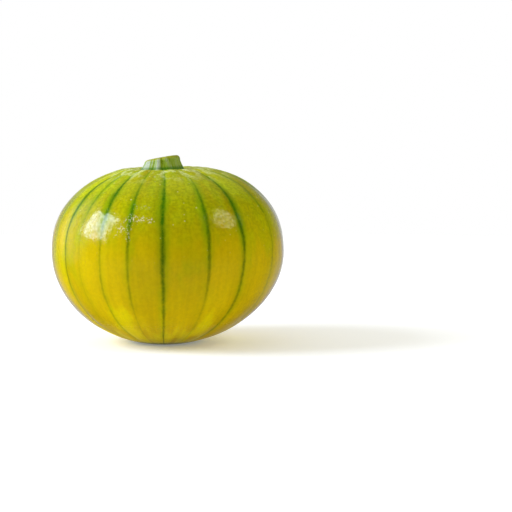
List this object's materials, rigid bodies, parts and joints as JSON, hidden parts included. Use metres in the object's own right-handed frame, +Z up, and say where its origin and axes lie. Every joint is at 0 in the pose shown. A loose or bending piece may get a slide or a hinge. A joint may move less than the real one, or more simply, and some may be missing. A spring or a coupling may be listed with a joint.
{
  "type": "pattypan squash",
  "caption": "Round ribbed summer squash, flattened top and bottom, with furrows from pole to pole and a cut stub of ridged stalk.",
  "frame": {"origin": "on the surface the squash stands on, under the middle of its girth", "axes": "+Z up, from the blossom scar to the stalk; -Y is the front, and the cut of the stalk is higher on the +X side"},
  "size_m": [0.0997, 0.1002, 0.0807],
  "materials": {
    "rind": "waxy, glossy skin, golden yellow turning lime green towards the stalk, with thin dark green stripes along the furrows",
    "stalk_skin": "matt green with pale ridges, and a paler, fibrous cut end"
  },
  "bodies": {
    "root": {"fruit": "rind", "stalk": "stalk_skin"}
  },
  "joints": []
}
